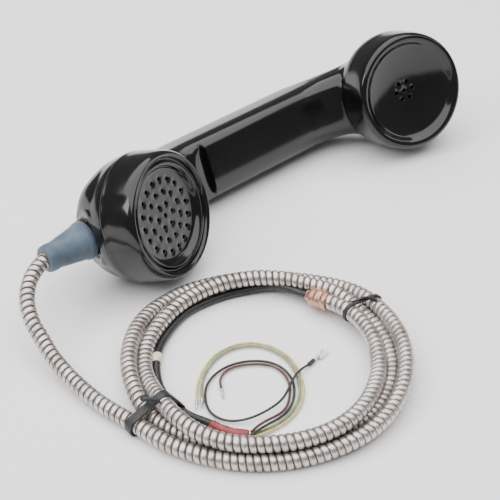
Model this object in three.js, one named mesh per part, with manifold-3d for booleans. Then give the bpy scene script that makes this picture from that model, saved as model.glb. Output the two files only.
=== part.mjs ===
// Side-lying handset with an armoured flexible cord coiled beside it.
// Millimetres, +Z up. X runs from the mouth end to the ear end, the caps face -Y and tip up.
// Handset pieces are drawn in a local frame (u along the handle, v across it, w out of the
// caps' side) and laid over by LAY_DEG so they rest on both cups and the handle's edge.
import * as THREE from 'three';
import Module from 'manifold-3d';

const wasm = await Module();
wasm.setup();

// ---------- driving dimensions ----------
const LAY_DEG = 90 - 22.53;        // local w axis tips this far from vertical
const CAP_SPAN = 156.1;            // between the two front-face centres
const MOUTH_TILT = 17.84;          // degrees, cap axes lean towards each other
const EAR_TILT = 14.33;
const CAP_DEPTH = 17.3;            // front face to seam
const SEAM_R = 29.4;
const HANDLE_HALF_V = 15.4;
const HANDLE_MID_W = -45.1;        // centre of the handle's section
const HANDLE_HALF_W = 13.4;
const NECK_R = 25.0;               // threaded neck of each cup
const CAVITY_R = 23.3;
const THREAD_PITCH = 2.5;
const THREAD_TURNS = 1.9;
const CAP_WALL_R = 26.5;           // inside of the cap's skirt
const CONDUIT_R = 3.5;             // armoured cord outside radius
const BOOT_W = -23.5;              // boot axis
const BOOT_U0 = -109.5;
const BOOT_U1 = -132.6;
const COIL_X = -91.7, COIL_Y = -74.0;
const COIL_RIN = 45.8, COIL_ROUT = 62.0, COIL_Z0 = 1.2, COIL_Z1 = 12.8;
const GAP = 0.3;

const D = Math.PI / 180;
const MAT = {
  black: { color: 0x0c0c0d, roughness: 0.22, metalness: 0 },
  steel: { color: 0xb9b5b0, roughness: 0.35, metalness: 0.9 },
  copper: { color: 0xc58f78, roughness: 0.4, metalness: 0.8 },
  brass: { color: 0xc9a34e, roughness: 0.35, metalness: 0.9 },
  boot: { color: 0x6f8294, roughness: 0.7, metalness: 0 },
  rubber: { color: 0x1a1a1a, roughness: 0.8, metalness: 0 },
  plastic: { color: 0x2a2a2c, roughness: 0.6, metalness: 0 },
  cloth: { color: 0x3a3a3a, roughness: 0.95, metalness: 0 },
  red: { color: 0xa8434a, roughness: 0.6, metalness: 0 },
  ivory: { color: 0xd9cdae, roughness: 0.7, metalness: 0 },
  yellow: { color: 0xc9b56a, roughness: 0.6, metalness: 0 },
  green: { color: 0x7b8a63, roughness: 0.6, metalness: 0 },
  foam: { color: 0x8d8a80, roughness: 1, metalness: 0 },
};

// ---------- mesh helpers ----------
function toMan(geo) {
  let g = geo.index ? geo.toNonIndexed() : geo.clone();
  const p = g.attributes.position.array;
  const key = new Map(); const verts = []; const tris = [];
  const idx = [];
  for (let i = 0; i < p.length; i += 3) {
    const k = `${Math.round(p[i] * 1e4)},${Math.round(p[i + 1] * 1e4)},${Math.round(p[i + 2] * 1e4)}`;
    let j = key.get(k);
    if (j === undefined) { j = verts.length / 3; key.set(k, j); verts.push(p[i], p[i + 1], p[i + 2]); }
    idx.push(j);
  }
  for (let i = 0; i < idx.length; i += 3) {
    const [a, b, c] = [idx[i], idx[i + 1], idx[i + 2]];
    if (a !== b && b !== c && a !== c) tris.push(a, b, c);
  }
  let m = new wasm.Manifold(new wasm.Mesh({ numProp: 3, vertProperties: new Float32Array(verts), triVerts: new Uint32Array(tris) }));
  if (m.volume() < 0) {
    for (let i = 0; i < tris.length; i += 3) { const t = tris[i]; tris[i] = tris[i + 1]; tris[i + 1] = t; }
    m = new wasm.Manifold(new wasm.Mesh({ numProp: 3, vertProperties: new Float32Array(verts), triVerts: new Uint32Array(tris) }));
  }
  return m;
}
function fromMan(m) {
  const me = m.getMesh(); const g = new THREE.BufferGeometry();
  const np = me.numProp; const n = me.vertProperties.length / np; const pos = new Float32Array(n * 3);
  for (let i = 0; i < n; i++) for (let k = 0; k < 3; k++) pos[i * 3 + k] = me.vertProperties[i * np + k];
  g.setAttribute('position', new THREE.BufferAttribute(pos, 3));
  g.setIndex(new THREE.BufferAttribute(new Uint32Array(me.triVerts), 1));
  return g;
}
// closed lathe about local z: profile of [radius, z] pairs, either a ring loop or axis to axis
function lathe(profile, seg = 48) {
  const pts = profile.map(([r, z]) => new THREE.Vector2(r, z));
  const onAxis = profile[0][0] === 0 && profile[profile.length - 1][0] === 0;
  if (!onAxis) pts.push(pts[0].clone());
  const g = new THREE.LatheGeometry(pts, seg);
  g.rotateX(Math.PI / 2);
  return toMan(g);
}
function cyl(r, z0, z1, seg = 24) {
  const g = new THREE.CylinderGeometry(r, r, z1 - z0, seg); g.rotateX(Math.PI / 2); g.translate(0, 0, (z0 + z1) / 2);
  return toMan(g);
}
function box(x0, x1, y0, y1, z0, z1) {
  const g = new THREE.BoxGeometry(x1 - x0, y1 - y0, z1 - z0);
  g.translate((x0 + x1) / 2, (y0 + y1) / 2, (z0 + z1) / 2); return toMan(g);
}
// loft through rings of equal count: a capped cylinder whose rings are moved to the sections
function loft(rings) {
  const n = rings[0].length, h = rings.length - 1;
  const g = new THREE.CylinderGeometry(1, 1, h, n, h, false);
  const p = g.attributes.position;
  const cen = rings.map(r => r.reduce((a, q) => [a[0] + q[0] / n, a[1] + q[1] / n, a[2] + q[2] / n], [0, 0, 0]));
  for (let i = 0; i < p.count; i++) {
    const x = p.getX(i), y = p.getY(i), z = p.getZ(i);
    const j = Math.round(h / 2 - y);
    if (Math.hypot(x, z) < 1e-6) { p.setXYZ(i, ...cen[j]); continue; }
    let k = Math.round(Math.atan2(x, z) / (2 * Math.PI) * n); k = ((k % n) + n) % n;
    p.setXYZ(i, ...rings[j][k]);
  }
  return toMan(g);
}
function mat4(m, M) { const g = fromMan(m); g.applyMatrix4(M); return toMan(g); }
function superRing(c, hv, hw, k, n = 28) {   // section in the v-w plane at u
  const out = [];
  for (let i = 0; i < n; i++) {
    const a = (i + 0.5) / n * 2 * Math.PI, ca = Math.cos(a), sa = Math.sin(a);   // half a step round, so the back is one flat strip
    const e = 2 / k;
    out.push([c[0], c[1] + hv * Math.sign(sa) * Math.abs(sa) ** e, c[2] + hw * Math.sign(ca) * Math.abs(ca) ** e]);
  }
  return out;
}
function sweep(points, r, sides, steps) {
  const curve = new THREE.CatmullRomCurve3(points.map(p => new THREE.Vector3(...p)), false, 'centripetal');
  const s = new THREE.Shape();
  for (let i = 0; i < sides; i++) {
    const a = (i + 0.5) / sides * 2 * Math.PI; const x = r * Math.cos(a), y = r * Math.sin(a);
    if (i) s.lineTo(x, y); else s.moveTo(x, y);
  }
  s.closePath();
  return toMan(new THREE.ExtrudeGeometry(s, { steps, bevelEnabled: false, extrudePath: curve }));
}

// ---------- frames ----------
const layover = new THREE.Matrix4().makeRotationX(LAY_DEG * D);
function cupFrame(side, tiltDeg) {             // local z = outward cap normal, origin at the front-face centre
  const a = tiltDeg * D * -side;               // mouth (side -1) leans towards +u
  const n = new THREE.Vector3(Math.sin(a), 0, Math.cos(a));
  const x = new THREE.Vector3(Math.cos(a), 0, -Math.sin(a));
  const y = new THREE.Vector3(0, 1, 0);
  return new THREE.Matrix4().makeBasis(x, y, n).setPosition(side * CAP_SPAN / 2, 0, 0);
}
const MOUTH = cupFrame(-1, MOUTH_TILT), EAR = cupFrame(1, EAR_TILT);
const ALONG = u => new THREE.Matrix4().makeRotationY(-Math.PI / 2).setPosition(u, 0, BOOT_W);   // local z runs along -u

// ---------- handle shell ----------
function ridge(rRoot, rTip, zStart, turns) { // helical ridge about local z, right handed
  const rings = []; const N = Math.round(turns * 18);
  const base = 0.52, tip = 0.24;
  for (let i = 0; i <= N; i++) {
    const a = i / N * turns * 2 * Math.PI;
    const grow = Math.min(1, i / 5, (N - i) / 5);
    const z = zStart + a / (2 * Math.PI) * THREAD_PITCH;
    const t = rRoot + (rTip - rRoot) * Math.max(0.12, grow);
    const P = (r, dz) => [r * Math.cos(a), r * Math.sin(a), z + dz];
    const back = rRoot - Math.sign(rTip - rRoot) * 0.5;
    rings.push([P(back, -base), P(back, base), P(t, tip), P(t, -tip)]);
  }
  return loft(rings);
}
const bowlMouth = () => lathe([[0, -35], [10, -34.6], [18, -33], [22.6, -30.3], [25.9, -26.8], [27.8, -23], [28.8, -19.8], [29.2, -CAP_DEPTH - GAP], [NECK_R, -CAP_DEPTH - GAP],
  [NECK_R, -8.2], [0, -8.2]], 48);
const bowlEar = () => lathe([[0, -32], [10, -31.6], [16.5, -30.2], [21.6, -27.9], [25.6, -25], [28.15, -22], [29.0, -19.6], [29.2, -CAP_DEPTH - GAP], [NECK_R, -CAP_DEPTH - GAP],
  [NECK_R, -8.2], [0, -8.2]], 48);
const cavity = () => lathe([[0, -29.3], [13, -29.3], [19, -27], [22.2, -23], [CAVITY_R, -19], [CAVITY_R, -7], [0, -7]], 36);

function handleBar(inset = 0) {
  // [u, centre w, half v, half w, corner power]
  const ear = [[38, HANDLE_MID_W + 0.2, HANDLE_HALF_V, HANDLE_HALF_W, 3.9], [46, -43.4, 15.5, 12.9, 3.7], [53, -40.3, 15.9, 12.7, 3.4], [60, -36.4, 16.6, 13.0, 3.2], [67, -31.8, 17.8, 12.8, 2.9],
    [74, -27.4, 19.5, 12.0, 2.6], [81, -23.4, 20.5, 10.5, 2.4], [88, -19.8, 19.5, 8.2, 2.2], [94, -17.2, 17, 6, 2.1], [98, -16, 13, 4, 2.0]];
  const mouth = [[38, HANDLE_MID_W + 0.1, HANDLE_HALF_V, HANDLE_HALF_W, 3.9], [46, -44.2, 15.6, 13.4, 3.7], [53, -42.5, 16.2, 13.7, 3.4], [60, -39.4, 17.4, 13.9, 3.1], [67, -35.5, 19.7, 14.2, 2.8],
    [74, -31.2, 22.8, 13.8, 2.5], [81, -27.6, 24.5, 13.3, 2.3], [88, -25.6, 24.6, 12.6, 2.2], [95, -24.2, 23.4, 11.8, 2.2], [101, -23.4, 21.3, 11.0, 2.2], [105, -23.3, 18.0, 10.4, 2.1], [107.4, -23.4, 13.6, 9.8, 2.0]];
  const S = mouth.map(h => [-h[0], ...h.slice(1)]).reverse();
  S.push([-20, HANDLE_MID_W, HANDLE_HALF_V, HANDLE_HALF_W, 4], [0, HANDLE_MID_W, HANDLE_HALF_V, HANDLE_HALF_W, 4], [20, HANDLE_MID_W, HANDLE_HALF_V, HANDLE_HALF_W, 4], ...ear);
  return inset ? loft(S.filter(q => Math.abs(q[0]) < 61).map(q => superRing([q[0], 0, q[1]], q[2] - inset, q[3] - inset, 3.2, 20)))
    : loft(S.map(q => superRing([q[0], 0, q[1]], q[2], q[3], q[4])));
}
function buildShell() {
  let bar = handleBar();
  // keep the bar behind both seam planes
  for (const F of [MOUTH, EAR]) bar = bar.subtract(mat4(box(-45, 45, -45, 45, -CAP_DEPTH - GAP, 40), F));
  let s = bar.add(mat4(bowlMouth(), MOUTH)).add(mat4(bowlEar(), EAR));
  // flared nozzle for the cord, with the bowl spot-faced behind the boot
  s = s.subtract(mat4(cyl(10.4, 0, 30, 32), ALONG(BOOT_U0 + 0.9)));
  s = s.add(mat4(lathe([[0, 0], [11.8, 0], [10.7, 5], [9.9, 9.6], [9.6, 14], [0, 14]], 32), ALONG(BOOT_U0 + 14)));
  s = s.subtract(mat4(cavity(), MOUTH)).subtract(mat4(cavity(), EAR));
  // hollow handle, wire passages into both cups, stepped bore through the nozzle
  s = s.subtract(handleBar(3.8));
  s = s.subtract(sweep([[-84, 0, -24], [-74, 0, -33], [-64, 0, -39.5], [-54, 0, -42.5]], 4.6, 12, 12));
  s = s.subtract(sweep([[54, 0, -40.5], [61, 0, -36.5], [68, 0, -32], [75, 0, -27.5], [84, 0, -22]], 4.6, 12, 12));
  s = s.subtract(mat4(cyl(4.1, 0, 30, 24), ALONG(BOOT_U0 + 20))).subtract(mat4(cyl(6.4, 0, 12, 24), ALONG(BOOT_U0 + 19)));
  // male threads on both necks
  const z0 = -15.6;
  s = s.add(mat4(ridge(NECK_R, NECK_R + 0.95, z0, THREAD_TURNS), MOUTH)).add(mat4(ridge(NECK_R, NECK_R + 0.95, z0, THREAD_TURNS), EAR));
  return s;
}

// ---------- caps ----------
function holeGrid(rows, step) {
  const out = [[0, 0]];
  rows.forEach((n, k) => { for (let i = 0; i < n; i++) { const a = (i + (k % 2 ? 0.5 : 0)) / n * 2 * Math.PI; out.push([(k + 1) * step * Math.cos(a), (k + 1) * step * Math.sin(a)]); } });
  return out;
}
const zInnerMouth = -6.6, zInnerEar = -9.6;
function mouthCap() {
  let c = lathe([[0, -4.6], [19.0, -4.4], [20.4, -4.0], [21.4, -2.6], [22.2, -1.7], [23.2, -1.5], [23.8, -2.2], [24.6, -2.4], [25.2, -1.2], [26.0, -0.25], [26.9, 0], [27.6, -0.5],
    [28.2, -1.6], [28.6, -3.2], [28.9, -6], [29.2, -12], [SEAM_R, -CAP_DEPTH], [CAP_WALL_R, -CAP_DEPTH], [CAP_WALL_R, -7.4], [24.6, zInnerMouth], [0, zInnerMouth]], 48);
  c = c.add(mat4(ridge(CAP_WALL_R, CAP_WALL_R - 0.95, -15.9 + THREAD_PITCH / 2, THREAD_TURNS - 0.2), new THREE.Matrix4()));
  for (const [x, y] of holeGrid([6, 12, 18], 5.4)) c = c.subtract(mat4(cyl(0.85, -8, -3, 8), new THREE.Matrix4().makeTranslation(x, y, 0)));
  return c;
}
function earCap() {
  let c = lathe([[0, -7.6], [6, -7.3], [12, -6.4], [17, -5.0], [21, -3.5], [23.2, -2.3], [24.4, -1.1], [25.6, -0.3], [26.8, 0], [27.9, -0.4],
    [28.7, -1.4], [29.1, -3.0], [29.3, -6], [29.4, -12], [SEAM_R, -CAP_DEPTH], [CAP_WALL_R, -CAP_DEPTH], [CAP_WALL_R, -8.2], [24.2, -7.2], [20, -7.8], [14, zInnerEar], [0, zInnerEar - 0.2]], 48);
  c = c.add(ridge(CAP_WALL_R, CAP_WALL_R - 0.95, -15.9 + THREAD_PITCH / 2, THREAD_TURNS - 0.2));
  for (const [x, y] of holeGrid([6], 4.6)) c = c.subtract(mat4(cyl(1.2, -12, -4, 10), new THREE.Matrix4().makeTranslation(x, y, 0)));
  return c;
}

const pieces = [];   // {name, man, frame: 'local' | matrix, mat, cord}
function add(name, man, mat, frame = null, cord = false) { pieces.push({ name, man: frame ? mat4(man, frame) : man, mat, cord }); }

add('handle_shell', buildShell(), MAT.black);
add('mouth_cap', mouthCap(), MAT.black, MOUTH);
add('ear_cap', earCap(), MAT.black, EAR);

// ---------- inside the mouth cup ----------
add('mouth_gasket', lathe([[18.4, -6.95], [22.6, -6.95], [22.6, -8.05], [18.4, -8.05]], 30), MAT.rubber, MOUTH);
add('mic_screen', cyl(22.4, -8.9, -8.45, 32), MAT.cloth, MOUTH);
add('mic_capsule', lathe([[0, -9.25], [20.5, -9.25], [22.6, -9.8], [22.6, -11.2], [18.6, -11.5], [18.2, -14.0], [9, -14.6], [0, -14.6]], 36), MAT.steel, MOUTH);
{ // contact cup with two leaf springs held by screws
  const UP = 2.7, cx = 11.5, T = (x, y, z) => new THREE.Matrix4().makeTranslation(x, y, z);
  let plate = lathe([[0, -20.4], [19.6, -20.4], [20.4, -18.2], [22.0, -18.2], [21.2, -22.2], [0, -22.2]], 36);
  for (const s of [-1, 1]) plate = plate.subtract(mat4(cyl(1.75, -24, -19, 16), T(s * cx, -1, 0)));
  plate = plate.subtract(mat4(cyl(3.2, -24, -19, 20), T(0, -13.5, 0)));
  add('mic_contact_cup', mat4(plate, T(0, 0, UP)), MAT.plastic, MOUTH);
  for (const [s, tag] of [[-1, 'a'], [1, 'b']]) {
    const path = [[s * cx, -4.2, -19.75], [s * cx, 3.2, -19.75], [s * (cx - 1), 6.5, -19.4], [s * (cx - 4.5), 8.5, -18.4], [s * (cx - 8), 7.2, -17.75]];
    const rings = path.map(([x, y, z], i) => {
      const wdt = i === path.length - 1 ? 1.1 : 2.2, t = 0.22;
      const q = path[Math.min(i + 1, path.length - 1)], p0 = path[Math.max(i - 1, 0)];
      const dx = q[0] - p0[0], dy = q[1] - p0[1], l = Math.hypot(dx, dy); const nx = -dy / l, ny = dx / l;
      return [[x + nx * wdt, y + ny * wdt, z - t], [x + nx * wdt, y + ny * wdt, z + t], [x - nx * wdt, y - ny * wdt, z + t], [x - nx * wdt, y - ny * wdt, z - t]];
    });
    const spring = loft(rings).subtract(mat4(cyl(1.55, -21, -18, 16), T(s * cx, -1, 0)));
    add('mic_spring_' + tag, mat4(spring, T(0, 0, UP)), MAT.brass, MOUTH);
    let screw = lathe([[0, -17.95], [2.0, -18.05], [2.7, -18.6], [2.7, -19.2], [1.25, -19.2], [1.25, -24.2], [0, -24.6]], 20);
    screw = screw.subtract(box(-3, 3, -0.35, 0.35, -18.45, -17));
    add('mic_screw_' + tag, screw, MAT.brass, MOUTH.clone().multiply(T(s * cx, -1, UP)));
  }
}

// ---------- inside the ear cup ----------
add('ear_gasket', lathe([[15.5, -10.05], [18.9, -10.05], [18.9, -11.1], [15.5, -11.1]], 30), MAT.rubber, EAR);
add('receiver_screen', cyl(19.2, -11.9, -11.45, 32), MAT.cloth, EAR);
add('receiver_capsule', lathe([[0, -12.25], [19, -12.25], [21.8, -12.9], [21.8, -15.2], [18.4, -15.6], [18.0, -19.6], [0, -19.6]], 40), MAT.steel, EAR);
{
  let cup = lathe([[0, -19.95], [14.6, -19.95], [14.2, -23.4], [12.8, -24.4], [0, -24.4]], 32);
  for (const s of [-1, 1]) cup = cup.subtract(mat4(cyl(1.35, -26, -22, 16), new THREE.Matrix4().makeTranslation(s * 8, 0, 0)));
  add('receiver_terminal_block', cup, MAT.plastic, EAR);
  for (const [s, tag] of [[-1, 'a'], [1, 'b']]) {
    let screw = lathe([[0, -26.3], [2.0, -26.2], [2.6, -25.6], [2.6, -24.75], [1.05, -24.75], [1.05, -22.4], [0, -22.4]], 20);
    screw = screw.subtract(box(-3, 3, -0.35, 0.35, -27, -25.8));
    add('receiver_screw_' + tag, screw, MAT.brass, EAR.clone().multiply(new THREE.Matrix4().makeTranslation(s * 8, 0, 0)));
  }
}

// ---------- wiring through the handle ----------
for (const [s, tag, m] of [[-1, 'white', MAT.ivory], [1, 'red', MAT.red]]) {
  const y = s * 1.7;
  add('receiver_wire_' + tag, sweep([[-78, y, -26.6], [-71, y, -34.2], [-62, y, -40], [-40, y, -43], [0, y, -43], [38, y, -43], [54, y, -40.5], [61, y, -36.5], [68, y, -32.3], [73, y, -29.6]], 0.75, 8, 26), m);
}
{
  let foam = loft([-24, 24].map(u => superRing([u, 0, HANDLE_MID_W], HANDLE_HALF_V - 4.3, HANDLE_HALF_W - 4.3, 3.2, 20)));
  for (const s of [-1, 1]) foam = foam.subtract(mat4(cyl(1.35, -30, 30, 12), new THREE.Matrix4().makeRotationY(Math.PI / 2).setPosition(0, s * 1.7, -43)));
  add('handle_foam_plug', foam, MAT.foam);
}

// ---------- cord entry: boot, armour tail, retainer, lanyard ----------
add('cord_boot', lathe([[8.6, 0], [8.8, 0.6], [8.8, 3.0], [8.2, 4.4], [7.5, 8.0], [6.9, 12], [6.1, 16.5], [6.2, 18.5], [6.1, 22.2], [5.2, 22.8], [3.8, 22.8], [3.8, 0]], 28), MAT.boot, ALONG(BOOT_U0 - GAP));
add('conduit_tail', cyl(CONDUIT_R, 0, 33.0, 12), MAT.steel, ALONG(BOOT_U0 + 10));
add('cord_retainer', lathe([[3.8, 0], [5.6, 0], [5.6, 1.8], [3.8, 1.8]], 24), MAT.steel, ALONG(BOOT_U0 + 9));

// ---------- free cord ----------
function buildCord(Z) { // Z: height of the boot axis above the surface, Y: its y
  const s0 = [BOOT_U1 - 0.95, Z.y, Z.z];
  const lead = [s0, [s0[0] - 0.9, s0[1] - 0.01, s0[2] - 0.01], [-139.55, 18.9, 24.03], [-146.9, 11.07, 19.45], [-152.76, 1.53, 13.66], [-155.89, -9.88, 8.75],
    [-157.02, -22.26, 5.76], [-157.4, -34.94, 4.24], [-156.95, -46.0, 3.7], [-156.3, -54.5, 3.6]];
  add('conduit_lead', sweep(lead, CONDUIT_R, 10, 24), MAT.steel, null, true);
}

const Pw = new THREE.Vector3(0, 0, 0);
// place handset pieces
for (const p of pieces) p.man = mat4(p.man, layover);
let bb = new THREE.Box3();
for (const p of pieces) { const b = p.man.boundingBox(); bb.union(new THREE.Box3(new THREE.Vector3(...b.min), new THREE.Vector3(...b.max))); }
const lift = -bb.min.z;
for (const p of pieces) p.man = mat4(p.man, new THREE.Matrix4().makeTranslation(0, 0, lift));
Pw.set(0, 0, BOOT_W).applyMatrix4(layover).add(new THREE.Vector3(0, 0, lift));
buildCord({ y: Pw.y, z: Pw.z });

// coil: one ring solid, notched on its inner side for the crimp
const AT = (r, deg, z) => [COIL_X + r * Math.cos(deg * D), COIL_Y + r * Math.sin(deg * D), z];
{
  let ring = lathe([[COIL_RIN + 1.6, COIL_Z0], [COIL_ROUT - 1.6, COIL_Z0], [COIL_ROUT, COIL_Z0 + 1.8], [COIL_ROUT, COIL_Z1 - 6.8], [COIL_ROUT - 1.4, COIL_Z1 - 5.2], [COIL_ROUT - 7, COIL_Z1],
    [COIL_RIN + 4.6, COIL_Z1], [COIL_RIN + 1.2, COIL_Z1 - 1.8], [COIL_RIN, COIL_Z1 - 4], [COIL_RIN, COIL_Z0 + 1.8]], 54);
  ring = mat4(ring, new THREE.Matrix4().makeTranslation(COIL_X, COIL_Y, 0));
  const nb = mat4(box(40, 53.6, -8.2, 20, 1.9, 20), new THREE.Matrix4().makeRotationZ(22.5 * D).setPosition(COIL_X, COIL_Y, 0));
  ring = ring.subtract(nb);
  add('conduit_coil', ring, MAT.steel, null, true);
}
// crimp ferrule along the strand end
{
  const a = 22.0, r = 48.6, len = 11;
  const M = new THREE.Matrix4().makeRotationZ((a) * D).setPosition(...AT(r, a, 6.4));
  const f = lathe([[0, -len / 2], [3.9, -len / 2], [4.15, -len / 2 + 0.8], [4.15, 1.8], [3.5, 3.2], [2.6, len / 2], [0, len / 2]], 20);
  const R = new THREE.Matrix4().makeRotationX(-Math.PI / 2);
  add('conduit_ferrule', f, MAT.copper, M.multiply(R), true);
}
// black inner cable: ferrule -> inside the coil -> heat-shrink
{
  const q = [];
  const a0 = 22.0, e = AT(48.6, a0, 6.4);
  const t = [-Math.sin(a0 * D), Math.cos(a0 * D)];
  q.push([e[0] + t[0] * 6.0, e[1] + t[1] * 6.0, 6.35]);
  q.push([e[0] + t[0] * 9, e[1] + t[1] * 9, 6.1]);
  for (const [r, deg, z] of [[47.2, 38, 4.6], [43.2, 49, 2.4], [43.2, 56, 1.9], [43.2, 70, 1.85], [43.2, 90, 1.85], [43.2, 110, 1.85], [43.2, 128.9, 1.85]]) q.push(AT(r, deg, z));
  add('jacket_cable_upper', sweep(q, 1.7, 8, 26), MAT.black, null, true);
  const b = [];
  for (const [r, deg, z] of [[43.2, 137.4, 1.85], [43.2, 150, 1.85], [43.2, 165, 1.85], [42.4, 178, 1.85], [41.6, 188, 1.85], [41.0, 193.2, 1.9]]) b.push(AT(r, deg, z));
  add('jacket_cable_lower', sweep(b, 1.7, 8, 14), MAT.black, null, true);
  const c = AT(43.2, 133.35, 1.95);
  const bd = mat4(cyl(2.0, -2.6, 2.6, 12), new THREE.Matrix4().makeRotationZ(133.35 * D).multiply(new THREE.Matrix4().makeRotationX(Math.PI / 2)).setPosition(...c));
  add('jacket_band', mat4(bd, new THREE.Matrix4().makeTranslation(0, 0, 0.1)), MAT.ivory, null, true);
}
// heat-shrink transition
const HS0 = AT(41.0, 193.9, 2.1), HS1 = AT(41.0, 216.5, 2.1);
add('heat_shrink', sweep([HS0, AT(41.6, 201, 2.1), AT(41.6, 209, 2.1), HS1], 2.0, 10, 6), MAT.red, null, true);

// conductors: each leaves the heat-shrink and lies in a loose loop, and ends in a spade lug
const hsT = [-Math.sin(216.5 * D), Math.cos(216.5 * D)], hsP = [Math.cos(216.5 * D), Math.sin(216.5 * D)];
const OUT = (k, z) => [HS1[0] + hsT[0] * 0.7 + hsP[0] * k, HS1[1] + hsT[1] * 0.7 + hsP[1] * k, z];
const WIRES = {
  yellow: [OUT(0.75, 1.3), [-115.2, -101.8, 0.8], [-103.6, -101.5, 0.75], [-91.3, -95.0, 0.75], [-84.1, -85.7, 0.75], [-80.0, -73.2, 0.75], [-85.1, -57.8, 0.75], [-96.1, -52.9, 0.75], [-109.9, -55.7, 0.75],
    [-121.6, -64.1, 0.75], [-125.4, -68.2, 0.75]],
  green: [OUT(-0.75, 1.3), [-115.2, -100.2, 0.8], [-103.8, -99.9, 0.75], [-92.0, -93.5, 0.75], [-85.5, -84.9, 0.75], [-81.7, -73.3, 0.75], [-86.4, -59.2, 0.75], [-96.4, -54.6, 0.75], [-109.3, -57.2, 0.75],
    [-119.4, -64.4, 0.75], [-123.4, -69.0, 0.75]],
  black: [OUT(0.75, 2.8), [-116.4, -99.4, 2.4], [-103.6, -98.2, 0.9], [-94.0, -92.4, 0.75], [-88.3, -84.6, 0.75], [-87.3, -74.2, 0.75], [-93.6, -65.7, 0.75], [-104.2, -61.6, 0.75], [-116.0, -64.2, 0.75],
    [-122.8, -70.6, 0.75], [-126.4, -78.6, 0.75], [-124.8, -85.6, 0.9], [-119.4, -91.2, 2.0], [-111, -93.6, 2.7], [-101, -92.8, 2.7], [-94, -89.6, 2.7], [-87.5, -86.4, 2.6], [-81.6, -84.7, 1.9], [-77.8, -84.1, 1.0]],
  red: [OUT(-0.95, 2.8), [-117.4, -97.4, 2.4], [-103.9, -96.7, 0.9], [-95.4, -91.2, 0.75], [-90.0, -84.0, 0.75], [-89.0, -74.6, 0.75], [-94.8, -67.4, 0.75], [-104.0, -63.5, 0.75], [-110.6, -66.0, 0.75],
    [-113.8, -70.4, 0.75]],
};
// spade lug: barrel and forked tongue, local x along the wire
function pin(name, at, deg) {   // slim pin terminal
  const m = lathe([[0, 0], [0.75, 0], [0.75, 2.2], [0.42, 2.6], [0.42, 5.2], [0, 5.5]], 10);
  add(name, mat4(m, new THREE.Matrix4().makeRotationZ(deg * D).multiply(new THREE.Matrix4().makeRotationY(Math.PI / 2)).setPosition(at[0], at[1], 0.8)), MAT.steel, null, true);
}
function lug(name, at, deg) {
  const sh = new THREE.Shape([[2.6, -1.7], [8.2, -1.7], [8.2, -0.8], [5.0, -0.8], [5.0, 0.8], [8.2, 0.8], [8.2, 1.7], [2.6, 1.7]].map(q => new THREE.Vector2(...q)));
  const tongue = toMan(new THREE.ExtrudeGeometry(sh, { depth: 0.5, bevelEnabled: false, steps: 1 }));
  const barrel = mat4(cyl(0.75, 0, 3.4, 10), new THREE.Matrix4().makeRotationY(Math.PI / 2).setPosition(0, 0, 0.55));
  add(name, mat4(tongue.add(barrel), new THREE.Matrix4().makeRotationZ(deg * D).setPosition(at[0], at[1], 0.25)), MAT.steel, null, true);
}
for (const [k, m] of [['yellow', MAT.yellow], ['green', MAT.green], ['black', MAT.black], ['red', MAT.red]])
  add('conductor_' + k, sweep(WIRES[k], 0.55, 8, k === 'black' ? 40 : 28), m, null, true);
{
  const dir = (w) => { const a = w[w.length - 2], b = w[w.length - 1]; return Math.atan2(b[1] - a[1], b[0] - a[0]) / D; };
  const off = (w, k) => { const b = w[w.length - 1], d = dir(w) * D; return [b[0] + Math.cos(d) * k, b[1] + Math.sin(d) * k]; };
  for (const k of ['yellow', 'green', 'red']) pin('pin_terminal_' + k, off(WIRES[k], 0.35), dir(WIRES[k]));
  const s0 = off(WIRES.black, 0.3);
  add('lug_sleeve', mat4(cyl(0.9, 0, 3.6, 10), new THREE.Matrix4().makeRotationZ(dir(WIRES.black) * D).multiply(new THREE.Matrix4().makeRotationY(Math.PI / 2)).setPosition(s0[0], s0[1], 0.98)), MAT.rubber, null, true);
  lug('spade_lug_black', off(WIRES.black, 4.2), dir(WIRES.black));
}

// rubber ties around the coil
function tieLoop(name, degMid, rIn, rOut, z1, wdt, thick) {
  // band in the radial-z plane at the given angle
  const outer = [[rIn - thick, 0], [rOut + thick, 0], [rOut + thick, z1 - 2], [rOut - 3, z1 + thick], [rIn + 3, z1 + thick], [rIn - thick, z1 - 3]];
  const inner = [[rIn, thick], [rOut, thick], [rOut, z1 - 2.3], [rOut - 3.1, z1], [rIn + 3.1, z1], [rIn, z1 - 3.1]];
  const sh = new THREE.Shape(outer.map(p => new THREE.Vector2(...p)));
  sh.holes.push(new THREE.Path(inner.map(p => new THREE.Vector2(...p))));
  const g = new THREE.ExtrudeGeometry(sh, { depth: wdt, bevelEnabled: false, steps: 1 });
  g.translate(0, 0, -wdt / 2); g.rotateX(Math.PI / 2); g.rotateZ(degMid * D); g.translate(COIL_X, COIL_Y, 0);
  add(name, toMan(g), MAT.rubber, null, true);
}
tieLoop('cable_tie_left', 173.4, COIL_RIN - 0.35, COIL_ROUT + 0.35, COIL_Z1 + 0.35, 4.0, 0.85);
tieLoop('cable_tie_right', -6.2, COIL_RIN - 0.35, COIL_ROUT + 0.35, COIL_Z1 + 0.35, 1.8, 0.85);

// ---------- origin: middle of the handset, on the surface ----------
bb = new THREE.Box3();
for (const p of pieces) if (!p.cord) { const b = p.man.boundingBox(); bb.union(new THREE.Box3(new THREE.Vector3(...b.min), new THREE.Vector3(...b.max))); }
const shift = [11.6506, -22.27, -bb.min.z];   // middle of the caps and handle, within a millimetre of the box's middle
const T = new THREE.Matrix4().makeTranslation(...shift);

const group = new THREE.Group();
for (const p of pieces) {
  const g = fromMan(mat4(p.man, T));
  g.computeVertexNormals();
  const m = new THREE.MeshStandardMaterial(p.mat); m.name = p.name;
  const mesh = new THREE.Mesh(g, m); mesh.name = p.name;
  group.add(mesh);
}
group.name = 'armoured_cord_handset';

export default group;
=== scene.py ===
import math

import bmesh
import bpy
import numpy as np
from mathutils import Matrix, Vector, geometry


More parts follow.
